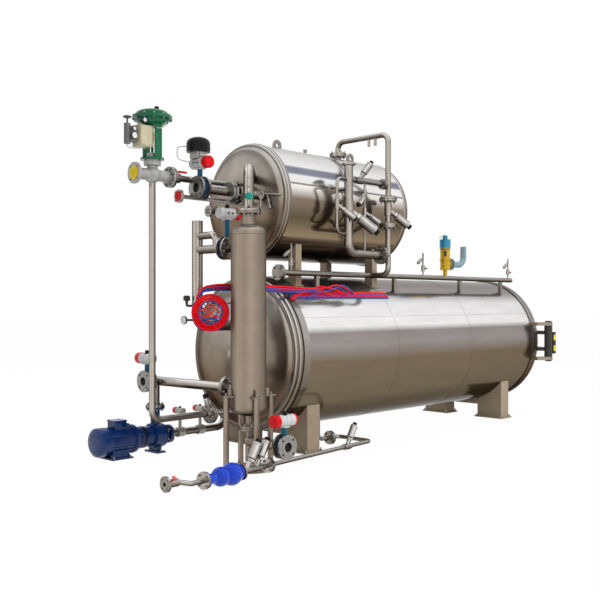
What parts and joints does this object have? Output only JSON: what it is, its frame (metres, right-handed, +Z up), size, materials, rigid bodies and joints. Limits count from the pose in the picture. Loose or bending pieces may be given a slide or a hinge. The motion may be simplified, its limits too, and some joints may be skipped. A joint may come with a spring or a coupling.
{
  "type": "retort sterilizer",
  "caption": "Horizontal insulated retort with a side-hinged dished door, hot water tank above, standing column, pump, control valve and stainless pipework.",
  "frame": {"origin": "on the floor, under the middle of the machine's outer box", "axes": "+X along the retort towards the door, +Y away from the pipe side, +Z up"},
  "size_m": [5.7346, 1.7746, 2.826],
  "materials": {
    "steel": "brushed stainless cladding and pipe",
    "column_steel": "blasted stainless",
    "frame_paint": "semi-gloss",
    "dark_paint": "semi-gloss",
    "rubber": "matte",
    "white_plastic": "gloss",
    "brass": "satin",
    "blue_grey_paint": "satin",
    "red_tube": "satin",
    "blue_tube": "satin",
    "black_plastic": "satin",
    "red_paint": "gloss",
    "cast_grey": "satin",
    "green_paint": "satin",
    "beige_paint": "satin",
    "blue_paint": "gloss"
  },
  "bodies": {
    "frame": {"retort_shell": "steel", "retort_jacket": "steel", "rear_head": "steel", "rear_ring": "steel", "mouth_flange": "steel", "door_gasket": "rubber", "hinge_bracket": "column_steel", "hinge_pin": "steel", "basket_rails": "steel", "rear_saddle": "frame_paint", "front_saddle": "frame_paint", "tank_shell": "steel", "tank_rear_head": "steel", "tank_front_head": "steel", "tank_rings": "steel", "tank_supports": "frame_paint", "lifting_lugs": "steel", "vent_pipe": "steel", "tank_manifold": "steel", "angle_valves": "steel", "angle_actuators": "white_plastic", "header_pipe": "steel", "header_valves": "steel", "safety_valve": "brass", "safety_outlet": "blue_grey_paint", "air_lines_red": "red_tube", "air_lines_blue": "blue_tube", "column_shell": "column_steel", "column_top": "column_steel", "column_bottom": "column_steel", "column_stand": "column_steel", "vapour_pipe": "steel", "riser_pipe": "steel", "control_valve": "cast_grey", "control_actuator": "green_paint", "positioner": "beige_paint", "butterfly_valves": "blue_paint", "butterfly_actuators": "white_plastic", "valve_positioner": "black_plastic", "valve_levers": "red_paint", "open_flanges": "steel", "tank_inlet": "steel", "tank_feed": "steel", "blank_flange": "red_paint", "overflow_pipe": "steel", "pump": "blue_paint", "pump_motor": "blue_paint", "discharge_pipe": "steel", "suction_pipe": "steel", "suction_taps": "white_plastic", "drain_inlet": "steel", "strainer": "blue_paint", "drain_line": "steel", "hose_coil": "red_tube"},
    "door": {"door": "steel", "door_arm": "dark_paint", "hinge_block": "dark_paint"}
  },
  "joints": [
    {"name": "door_hinge", "type": "hinge", "parent": "frame", "child": "door", "pos_m": [2.57269, -0.57497, 0.84], "axis": [0, 0, -1], "range_deg": [0, 110]}
  ]
}
